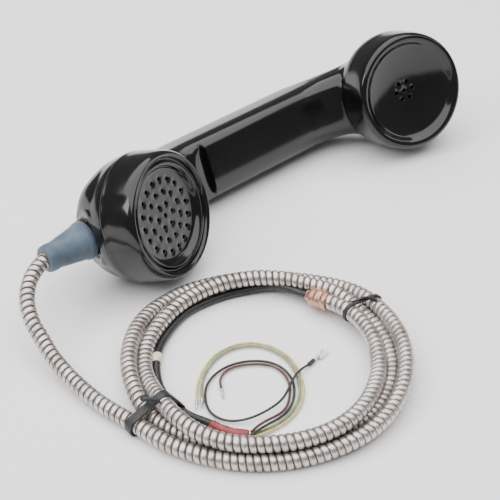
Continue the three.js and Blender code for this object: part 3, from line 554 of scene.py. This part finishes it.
jacket_pts = [tuple(fer_end - tip_dir * 1.5), tuple(fer_end + tip_dir * 2.5), at(49.6, 40, 4.9), at(50.8, 47, 3.2), at(50.6, 54, 2.1), at(49.9, 63, 1.8), at(48.9, 76, 1.75), at(48, 92, 1.75), at(46.2, 108, 1.75), at(45.5, 122, 1.95), at(45, 134, 2.3), at(44.8, 146, 1.95), at(44.6, 158, 1.75), at(43.8, 169, 1.8), at(43, 179, 1.85), at(42.1, 187, 1.95), at(41.4, 193, 2.05), at2(41.2, 197.5, 2.1)]
jacket, jacket_path, jacket_length = bevel_curve("jacket_cable", jacket_pts, 1.7, JACKET)
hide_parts("jacket_cable_upper", "jacket_cable_lower")

band_c = np.array(at(45.05, 133.0, 2.3)); band_d = np.array(at(45, 134.5, 2.3)) - np.array(at(45.1, 131.5, 2.3))
band = lathe_world("jacket_band_sleeve", smooth_profile([(1.76, -2.6), (2.05, -2.55), (2.22, -2.2), (2.2, -1.0), (2.28, 0.2), (2.2, 1.2), (2.24, 2.2), (2.05, 2.55), (1.76, 2.6)], 0.2), on_line(band_c, band_d), (IVORY,), 36)
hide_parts("jacket_band")

hs_pts = [at2(41.0, 193.9, 2.1), at2(41.6, 201, 2.12), at2(41.6, 209, 2.12), at2(41.0, 216.5, 2.1)]
hsC, _ = catmull(hs_pts, 0.4)
hu = np.linspace(0, 1, len(hsC))
hsR = 2.02 + 0.10 * np.sin(hu * 19.0) * np.exp(-((hu - 0.35) / 0.3) ** 2) + 0.05 * np.sin(hu * 47.0)
hsR = hsR * np.clip(0.86 + hu * 3.0, 0, 1) * np.clip(0.82 + (1 - hu) * 3.0, 0, 1)
heat = tube("heat_shrink_sleeve", hsC, hsR, (HEAT,), 24)
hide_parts("heat_shrink")

h1 = np.array(at2(41.0, 216.5, 2.1))
ht = np.array([-math.sin(math.radians(216.5)), math.cos(math.radians(216.5))])
hp = np.array([math.cos(math.radians(216.5)), math.sin(math.radians(216.5))])


def out(k, z):
    return (h1[0] + ht[0] * 0.7 + hp[0] * k, h1[1] + ht[1] * 0.7 + hp[1] * k, z)


def sh(points):
    return [(x + SHIFT[0], y + SHIFT[1], z) for x, y, z in points]


WIRES = {
    "yellow": [out(0.75, 1.3)] + sh([(-115.2, -101.8, 0.8), (-103.6, -101.5, 0.75), (-91.3, -95.0, 0.75), (-84.1, -85.7, 0.75), (-80.0, -73.2, 0.75), (-85.1, -57.8, 0.75), (-96.1, -52.9, 0.75), (-109.9, -55.7, 0.75),
                                     (-121.6, -64.1, 0.75), (-125.4, -68.2, 0.75)]),
    "green": [out(-0.75, 1.3)] + sh([(-115.2, -100.2, 0.8), (-103.8, -99.9, 0.75), (-92.0, -93.5, 0.75), (-85.5, -84.9, 0.75), (-81.7, -73.3, 0.75), (-86.4, -59.2, 0.75), (-96.4, -54.6, 0.75), (-109.3, -57.2, 0.75),
                                     (-119.4, -64.4, 0.75), (-123.4, -69.0, 0.75)]),
    "black": [out(0.75, 2.8)] + sh([(-116.4, -99.4, 2.4), (-103.6, -98.2, 0.9), (-94.0, -92.4, 0.75), (-88.3, -84.6, 0.75), (-87.3, -74.2, 0.75), (-93.6, -65.7, 0.75), (-104.2, -61.6, 0.75), (-116.0, -64.2, 0.75),
                                    (-122.8, -70.6, 0.75), (-126.4, -78.6, 0.75), (-124.8, -85.6, 0.9), (-119.4, -91.2, 2.0), (-111, -93.6, 2.7), (-101, -92.8, 2.7), (-94, -89.6, 2.7), (-87.5, -86.4, 2.6),
                                    (-81.6, -84.7, 1.9), (-77.8, -84.1, 1.0)]),
    "red": [out(-0.95, 2.8)] + sh([(-117.4, -97.4, 2.4), (-103.9, -96.7, 0.9), (-95.4, -91.2, 0.75), (-90.0, -84.0, 0.75), (-89.0, -74.6, 0.75), (-94.8, -67.4, 0.75), (-104.0, -63.5, 0.75), (-110.6, -66.0, 0.75),
                                  (-113.8, -70.4, 0.75)]),
}
WIRE_MATS = {"yellow": W_YELLOW, "green": W_GREEN, "black": W_BLACK, "red": W_RED}
for colour, pts in WIRES.items():
    wire, wire_path, wire_length = bevel_curve("wire_" + colour, pts, 0.55, WIRE_MATS[colour], 0.8)
    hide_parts("conductor_" + colour)

# ---------------------------------------------------------------- boot
boot_profile = smooth_profile([(3.8, 0), (8.1, 0), (8.62, 0.2), (8.8, 0.75), (8.8, 2.75), (8.66, 3.2), (8.3, 3.65), (8.1, 4.3), (7.85, 6.0), (7.5, 8.0), (7.2, 9.8), (6.9, 12.0), (6.5, 14.4), (6.1, 16.6), (6.05, 17.3), (6.15, 18.1),
    (6.22, 18.8), (6.15, 21.2), (6.0, 22.0), (5.5, 22.6), (4.6, 22.8), (3.85, 22.7), (3.78, 22.0), (3.8, 0.0)], 0.3, sharp=(1, 21))
boot = lathe("boot_sleeve", boot_profile, along_boot, (BOOT,), 72)
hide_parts("cord_boot")

# ---------------------------------------------------------------- handset shell, as one smooth skin round an implicit shape
BOWL_M = [(0, -35), (5, -34.9), (10, -34.6), (14, -34.0), (18, -33), (20.6, -31.8), (22.6, -30.3), (25.9, -26.8), (27.8, -23), (28.8, -19.8), (29.2, -17.6), (29.2, -9)]
BOWL_E = [(0, -32), (5, -31.9), (10, -31.6), (16.5, -30.2), (21.6, -27.9), (25.6, -25), (28.15, -22), (29.0, -19.6), (29.2, -17.6), (29.2, -9)]
NOZZLE = [(0, -91.5), (12.4, -91.5), (11.8, -95.5), (10.7, -100.5), (9.95, -105.1), (9.6, -109.0), (9.35, -109.45), (8.9, -109.5), (0, -109.5)]


def table2d(loop, r_max, z0, z1, h=0.2):
    """Signed distance to a closed (r, z) loop on a fine grid, negative inside."""
    L = np.asarray(loop, float)
    L = L[np.r_[True, np.linalg.norm(np.diff(L, axis=0), axis=1) > 1e-9]]
    rr, zz = np.arange(0, r_max + h, h), np.arange(z0, z1 + h, h)
    Rg, Zg = np.meshgrid(rr, zz, indexing="ij")
    best = np.full(Rg.shape, 1e9); inside = np.zeros(Rg.shape, bool)
    full = np.vstack([L, [[-1e-3, L[-1, 1]], [-1e-3, L[0, 1]]]])
    n = len(full)
    for i in range(n):
        a, b = full[i], full[(i + 1) % n]
        crosses = ((a[1] > Zg) != (b[1] > Zg))
        with np.errstate(divide="ignore", invalid="ignore"):
            x = a[0] + (Zg - a[1]) / (b[1] - a[1] if abs(b[1] - a[1]) > 1e-12 else 1e-12) * (b[0] - a[0])
        inside ^= crosses & (Rg < x)
        if i < len(L) - 1:      # the loop's own surface, not its closing line on the axis
            d = b - a; q = np.clip(((Rg - a[0]) * d[0] + (Zg - a[1]) * d[1]) / (d @ d), 0, 1)
            best = np.minimum(best, np.hypot(Rg - a[0] - q * d[0], Zg - a[1] - q * d[1]))
    T = np.where(inside, -best, best)

    def look(r, z):
        x, y = np.clip(r / h, 0, T.shape[0] - 1.001), np.clip((z - z0) / h, 0, T.shape[1] - 1.001)
        i, j = x.astype(int), y.astype(int); fx, fy = x - i, y - j
        return T[i, j] * (1 - fx) * (1 - fy) + T[i + 1, j] * fx * (1 - fy) + T[i, j + 1] * (1 - fx) * fy + T[i + 1, j + 1] * fx * fy
    return look


def dense_loop(points, sharp):
    return smooth_profile(points, 0.4, sharp)


look_m = table2d(np.vstack([dense_loop(BOWL_M, (9, 10)), [[0, -9]]]), 60, -66, 2)
look_e = table2d(np.vstack([dense_loop(BOWL_E, (7, 8)), [[0, -9]]]), 60, -66, 2)
look_n = table2d(dense_loop(NOZZLE, (1, 2, 5, 7)), 50, -118, -86)

SECTIONS = np.array([[-108.6, -23.4, 9.0, 8.0, 2.0], [-107.4, -23.4, 13.6, 9.8, 2.0], [-105, -23.3, 18.0, 10.4, 2.1], [-101, -23.4, 21.3, 11.0, 2.2], [-95, -24.2, 23.4, 11.8, 2.2], [-88, -25.6, 24.6, 12.6, 2.2], [-81, -27.6, 24.5, 13.3, 2.3],
    [-74, -31.2, 22.8, 13.8, 2.5], [-67, -35.5, 19.7, 14.2, 2.8], [-60, -39.4, 17.4, 13.9, 3.1], [-53, -42.5, 16.2, 13.7, 3.4], [-46, -44.2, 15.6, 13.4, 3.7], [-38, -45.0, 15.4, 13.4, 3.9], [-20, -45.1, 15.4, 13.4, 4], [0, -45.1, 15.4, 13.4, 4], [20, -45.1, 15.4, 13.4, 4],
    [38, -44.9, 15.4, 13.4, 3.9], [46, -43.4, 15.5, 12.9, 3.7], [53, -40.3, 15.9, 12.7, 3.4], [60, -36.4, 16.6, 13.0, 3.2], [67, -31.8, 17.8, 12.8, 2.9], [74, -27.4, 19.5, 12.0, 2.6], [81, -23.4, 20.5, 10.5, 2.4],
    [88, -19.8, 19.5, 8.2, 2.2], [94, -17.2, 17, 6, 2.1], [98, -16, 13, 4, 2.0], [104, -15, 8, 3, 2.0]])


def pchip(x, y, q):
    """Monotone cubic interpolation of each column of y."""
    h = np.diff(x)[:, None]; d = np.diff(y, axis=0) / h
    m = np.zeros_like(y)
    w1, w2 = 2 * h[1:] + h[:-1], h[1:] + 2 * h[:-1]
    same = d[:-1] * d[1:] > 0
    with np.errstate(divide="ignore", invalid="ignore"):
        inner = (w1 + w2) / (w1 / d[:-1] + w2 / d[1:])
    m[1:-1] = np.where(same, inner, 0)
    k = np.clip(np.searchsorted(x, q, side="right") - 1, 0, len(x) - 2)
    t = ((q - x[k]) / (x[k + 1] - x[k]))[:, None]; hk = (x[k + 1] - x[k])[:, None]
    return (2 * t ** 3 - 3 * t ** 2 + 1) * y[k] + (t ** 3 - 2 * t ** 2 + t) * hk * m[k] + (-2 * t ** 3 + 3 * t ** 2) * y[k + 1] + (t ** 3 - t ** 2) * hk * m[k + 1]


_us = np.linspace(-108, 104, 2121)
_tab = pchip(SECTIONS[:, 0], SECTIONS[:, 1:], _us)
_kern = np.exp(-np.linspace(-2, 2, 61) ** 2); _kern /= _kern.sum()
_pad = np.vstack([np.repeat(_tab[:1], 30, 0), _tab, np.repeat(_tab[-1:], 30, 0)])
_tab = np.stack([np.convolve(_pad[:, k], _kern, "valid") for k in range(4)], 1)


def bar(u, v, w):
    i = np.clip((u + 108) * 10, 0, 2119.999); a = i.astype(int); f = (i - a)[:, None]
    q = _tab[a] * (1 - f) + _tab[a + 1] * f
    x, y, k = np.abs(v) / q[:, 1], np.abs(w - q[:, 0]) / q[:, 2], q[:, 3]
    g = (x ** k + y ** k + 1e-12) ** (1 / k)
    # distance estimate: value over the gradient's length
    gx = (x ** (k - 1)) * g ** (1 - k) / q[:, 1]; gy = (y ** (k - 1)) * g ** (1 - k) / q[:, 2]
    f1 = (g - 1) / np.maximum(np.hypot(gx, gy), 0.03)
    return np.maximum(f1, np.where(u < 0, -u - 107.4, u - 103.0))


def smin(a, b, k):
    h = np.clip(0.5 + 0.5 * (b - a) / k, 0, 1)
    return b * (1 - h) + a * h - k * h * (1 - h)


def in_cup(cup, P):
    o, x, y, n = cup
    r = P - o
    z = r @ n
    return np.sqrt(np.maximum((r * r).sum(1) - z * z, 0)), z


def body_field(P):
    u, v, w = P[:, 0], P[:, 1], P[:, 2]
    rm, zm = in_cup(MOUTH, P); re, ze = in_cup(EAR, P)
    fm, fe = look_m(rm, zm), look_e(re, ze)
    fb = bar(u, v, w)
    # keep the bar behind both seam planes
    fb = np.where(u < -30, np.maximum(fb, zm + 17.9), np.where(u > 30, np.maximum(fb, ze + 17.9), fb))
    rb = np.hypot(v, w - BOOT_W)
    # a flat is cut round the nozzle's mouth so that the boot's collar seats clear of the bowl
    spot = np.maximum(rb - 10.4, u + 108.6)
    fn = look_n(rb, u)
    km = 0.25 + 5.0 * np.clip((-18.2 - zm) / 7.0, 0, 1) ** 1.0
    ke = 0.25 + 5.0 * np.clip((-18.2 - ze) / 7.0, 0, 1) ** 1.0
    f = smin(fm, fb, km)
    f = np.where(u < -90, np.maximum(f, -spot), f)
    f = smin(f, fn, 0.8)
    f = np.where(u > 0, smin(fb, fe, ke), f)
    return np.maximum(f, 0.02 - (SL * v + CL * w + LIFT))     # it rests on the surface


def skin(field, lo, hi, h):
    """Surface nets on a grid, then every vertex is moved onto the field's zero surface."""
    n = [int(math.ceil((b - a) / h)) + 1 for a, b in zip(lo, hi)]
    ax = [lo[k] + h * np.arange(n[k]) for k in range(3)]
    G = np.empty(n)
    for i in range(n[0]):
        yy, zz = np.meshgrid(ax[1], ax[2], indexing="ij")
        G[i] = field(np.stack([np.full(yy.size, ax[0][i]), yy.ravel(), zz.ravel()], 1)).reshape(n[1], n[2])
    s = G < 0
    cells = np.zeros([k - 1 for k in n], bool); allin = np.ones_like(cells)
    acc = np.zeros(cells.shape + (3,)); cnt = np.zeros(cells.shape)
    for dx in (0, 1):
        for dy in (0, 1):
            for dz in (0, 1):
                c = s[dx:n[0] - 1 + dx, dy:n[1] - 1 + dy, dz:n[2] - 1 + dz]
                cells |= c; allin &= c
    cells &= ~allin
    idx = -np.ones(cells.shape, int); idx[cells] = np.arange(cells.sum())
    base = np.argwhere(cells)
    for axis in range(3):
        for a in (0, 1):
            for b in (0, 1):
                o0 = [0, 0, 0]; others = [k for k in range(3) if k != axis]
                o0[others[0]], o0[others[1]] = a, b
                o1 = list(o0); o1[axis] = 1
                p0, p1 = base + o0, base + o1
                g0, g1 = G[tuple(p0.T)], G[tuple(p1.T)]
                m = (g0 < 0) != (g1 < 0)
                t = np.where(m, g0 / np.where(m, g0 - g1, 1), 0)
                q = p0 + 0.0; q[:, axis] += t
                sub = tuple(base[m].T)
                acc[sub] += q[m]; cnt[sub] += 1
    V = np.array(lo) + h * (acc[cells] / cnt[cells][:, None])
    F = []
    for axis in range(3):
        o = [k for k in range(3) if k != axis]
        sl0 = [slice(1, n[k] - 1) if k in o else slice(0, n[k] - 1) for k in range(3)]
        sl1 = [slice(1, n[k] - 1) if k in o else slice(1, n[k]) for k in range(3)]
        A, B = s[tuple(sl0)], s[tuple(sl1)]
        e = np.argwhere(A != B); flip = A[tuple(e.T)]
        e = e.copy(); e[:, o[0]] += 1; e[:, o[1]] += 1
        quad = []
        for a, b in ((0, 0), (1, 0), (1, 1), (0, 1)):
            c = e.copy(); c[:, o[0]] -= a; c[:, o[1]] -= b
            quad.append(idx[tuple(c.T)])
        Q = np.stack(quad, 1)
        if axis == 1:
            flip = ~flip
        Q[flip] = Q[flip][:, ::-1]
        F.append(Q)
    F = np.vstack(F)
    for _ in range(3):
        f0 = field(V); e = 0.15
        g = np.stack([(field(V + e * np.eye(3)[k]) - field(V - e * np.eye(3)[k])) / (2 * e) for k in range(3)], 1)
        step = f0 / np.maximum((g * g).sum(1), 0.2)
        V = V - np.clip(step, -0.6, 0.6)[:, None] * g
    return V, F


H_GRID = 1.05
V, F = skin(body_field, (-114.5, -34, -63), (124, 34, 8), H_GRID)
me = bpy.data.meshes.new("tmp"); me.from_pydata([tuple(v) for v in V], [], [tuple(int(i) for i in f) for f in F])
bm = bmesh.new(); bm.from_mesh(me)
for (o, x, y, n), sgn in ((MOUTH, -1), (EAR, 1)):
    near = lambda p: (np.linalg.norm(np.cross(np.array(p) - o, n)) < 31.5) and (np.array(p) - o) @ n > -19.5
    faces = [f for f in bm.faces if near(f.calc_center_median())]
    geom = list({v for f in faces for v in f.verts} | {e for f in faces for e in f.edges}) + faces
    cut = bmesh.ops.bisect_plane(bm, geom=geom, dist=1e-5, plane_co=Vector(o - 17.62 * n), plane_no=Vector(n), clear_outer=True)
    rim = [e for e in cut["geom_cut"] if isinstance(e, bmesh.types.BMEdge) and e.is_boundary]
    # a small round on the seam edge, then the neck that the cap screws on to
    for depth, radius in ((-17.60, 28.85), (-17.60, 25.0), (-8.4, 25.0), (-8.2, 24.6), (-8.2, 23.3), (-19.0, 23.3), (-23.0, 22.2), (-27.0, 19.0), (-29.3, 13.0), (-29.3, 0.5)):
        ext = bmesh.ops.extrude_edge_only(bm, edges=rim)
        for vtx in (g for g in ext["geom"] if isinstance(g, bmesh.types.BMVert)):
            p = np.array(vtx.co) - o; h = p @ n; radial = p - h * n; radial /= max(np.linalg.norm(radial), 1e-9)
            vtx.co = Vector(o + radial * radius + n * depth)
        rim = [g for g in ext["geom"] if isinstance(g, bmesh.types.BMEdge)]
    bmesh.ops.holes_fill(bm, edges=rim, sides=0)
bm.to_mesh(me); bm.free()
shell_v = np.array([v.co for v in me.vertices]); shell_f = [tuple(p.vertices) for p in me.polygons]
bpy.data.meshes.remove(me)
shell = make("handset_shell", place(shell_v), shell_f, "handset", True, 50, (BLACK,), weld=2e-6)
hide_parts("handle_shell")


# ---------------------------------------------------------------- caps with real perforations
def hole_grid(rows, step):
    out = [(0.0, 0.0)]
    for k, n in enumerate(rows):
        for i in range(n):
            a = (i + (0.5 if k % 2 else 0)) / n * 2 * math.pi
            out.append(((k + 1) * step * math.cos(a), (k + 1) * step * math.sin(a)))
    return out


def cap(name, node, cup, body, outer, sharp, rp, z_front, z_back, holes, hr, seg=144):
    """outer: profile from the patch edge over the rim, down the skirt and back inside to the patch's back edge."""
    prof = smooth_profile(outer, 0.35, sharp)
    V, F = lathe_grid(prof, seg)
    V = V.tolist()
    nprof = len(prof)
    a = np.arange(seg) / seg * 2 * math.pi
    hs = 20
    pts = [Vector((rp * math.cos(t), rp * math.sin(t))) for t in a]
    edges = [(i, (i + 1) % seg) for i in range(seg)]
    for hx, hy in holes:
        b = len(pts)
        pts += [Vector((hx + (hr + 0.22) * math.cos(t), hy + (hr + 0.22) * math.sin(t))) for t in np.arange(hs) / hs * 2 * math.pi]
        edges += [(b + i, b + (i + 1) % hs) for i in range(hs)]
    ring_pts = []
    for r in np.arange(rp - 1.6, 1.0, -2.2):
        m = max(8, int(r * 3))
        for t in np.arange(m) / m * 2 * math.pi:
            p = (r * math.cos(t), r * math.sin(t))
            if all((p[0] - hx) ** 2 + (p[1] - hy) ** 2 > (hr + 0.75) ** 2 for hx, hy in holes):
                ring_pts.append(Vector(p))
    pts += ring_pts
    co, _, tri, *_ = geometry.delaunay_2d_cdt(pts, edges, [], 0, 1e-5)
    def keep(t):
        c = sum((co[i] for i in t), Vector((0, 0))) / 3
        return c.length < rp and all((c.x - hx) ** 2 + (c.y - hy) ** 2 > (hr + 0.2) ** 2 for hx, hy in holes)
    tri = [t for t in tri if keep(t)]
    base = len(V)
    for c in co:
        V.append((c.x, c.y, z_front(c.length)))
    back = len(V)
    for c in co:
        V.append((c.x, c.y, z_back))
    for t in tri:
        F.append(tuple(base + i for i in t)); F.append(tuple(back + i for i in reversed(t)))
    k = seg
    # hole walls: small rounded lip, then a straight wall
    for n_hole, (hx, hy) in enumerate(holes):
        idx = [seg + n_hole * hs + i for i in range(hs)]
        ang = np.arange(hs) / hs * 2 * math.pi
        rings = [[base + i for i in idx]]
        for rr, dz in ((hr + 0.07, -0.09), (hr, -0.28), (hr, -0.9)):
            s0 = len(V)
            V += [(hx + rr * math.cos(t), hy + rr * math.sin(t), z_front(math.hypot(hx, hy)) + dz) for t in ang]
            rings.append(list(range(s0, s0 + hs)))
        rings.append([back + i for i in idx])
        for p, q in zip(rings[:-1], rings[1:]):
            F += [(p[i], p[(i + 1) % hs], q[(i + 1) % hs], q[i]) for i in range(hs)]
    ob = make(name, place(from_cup(cup, V)), F, body, True, 38, (BLACK,), weld=3e-6)
    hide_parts(node)
    return ob


SEAM = -17.3
mouth_outer = [(19.0, -4.4), (20.4, -4.0), (21.4, -2.6), (22.2, -1.7), (23.2, -1.5), (23.8, -2.2), (24.6, -2.4), (25.2, -1.2), (26.0, -0.25), (26.9, 0), (27.6, -0.5), (28.2, -1.6), (28.6, -3.2), (28.9, -6), (29.2, -12),
               (29.38, -16.4), (29.4, -16.9), (29.25, -17.22), (28.9, SEAM), (26.5, SEAM), (26.5, -7.4), (24.6, -6.6), (19.0, -6.6)]
mouth = cap("transmitter_cap", "mouth_cap", MOUTH, "mouth_cap", mouth_outer, (18, 19, 20, 21), 19.0, lambda r: -4.6 + 0.2 * (r / 19.0) ** 2, -6.6, hole_grid([6, 12, 18], 5.4), 0.85)
ear_outer = [(7.5, -7.18), (9, -6.98), (12, -6.4), (17, -5.0), (21, -3.5), (23.2, -2.3), (24.4, -1.1), (25.6, -0.3), (26.8, 0), (27.9, -0.4), (28.7, -1.4), (29.1, -3.0), (29.3, -6), (29.35, -12), (29.4, -16.4), (29.38, -16.9),
             (29.25, -17.22), (28.9, SEAM), (26.5, SEAM), (26.5, -8.2), (24.2, -7.2), (20, -7.8), (14, -9.6), (7.5, -9.7)]
ear = cap("receiver_cap", "ear_cap", EAR, "ear_cap", ear_outer, (17, 18, 19, 20, 21, 22), 7.5, lambda r: -7.6 + 0.42 * (r / 7.5) ** 2, -9.7, hole_grid([6], 4.6), 0.95)

# ---------------------------------------------------------------- floor and light
floor_me = bpy.data.meshes.new("floor")
floor_me.from_pydata([(-8, -8, -0.0004), (8, -8, -0.0004), (8, 8, -0.0004), (-8, 8, -0.0004)], [], [(0, 1, 2, 3)])
floor = bpy.data.objects.new("floor", floor_me)
scene.collection.objects.link(floor)
fm, fnt, fb, flink = tree_of("floor_white")
ftc = fnt.nodes.new("ShaderNodeTexCoord").outputs["Object"]
flink(ramp(fnt, flink, noise(fnt, flink, ftc, 3.0), [(0.3, (0.94, 0.94, 0.94)), (0.7, (0.97, 0.97, 0.97))]), fb.inputs["Base Color"])
fb.inputs["Roughness"].default_value = 0.9
floor_me.materials.append(fm)


def area(name, loc, target, size, power, color=(1, 1, 1), size_y=None):
    li = bpy.data.lights.new(name, "AREA")
    li.energy, li.color = power, color
    li.size = size
    if size_y:
        li.shape, li.size_y = "RECTANGLE", size_y
    ob = bpy.data.objects.new(name, li)
    ob.location = loc
    ob.rotation_euler = (Vector(target) - Vector(loc)).to_track_quat("-Z", "Y").to_euler()
    scene.collection.objects.link(ob)
    return ob


# directions: the camera looks along (0.68, 0.73) on the floor
area("overhead", (-0.15, 0.3, 1.6), (-0.15, 0.3, 0), 3.0, 100)
area("left_soft", (-1.25, 0.35, 0.85), (-0.02, -0.05, 0.02), 0.5, 7)
area("right_strip", (1.2, -0.55, 0.8), (0, -0.05, 0.02), 0.2, 2, size_y=0.8)

world = bpy.data.worlds.new("studio")
scene.world = world
world.use_nodes = True
wb = world.node_tree.nodes["Background"]
wb.inputs["Color"].default_value = (1, 1, 1, 1)
wb.inputs["Strength"].default_value = 0.2
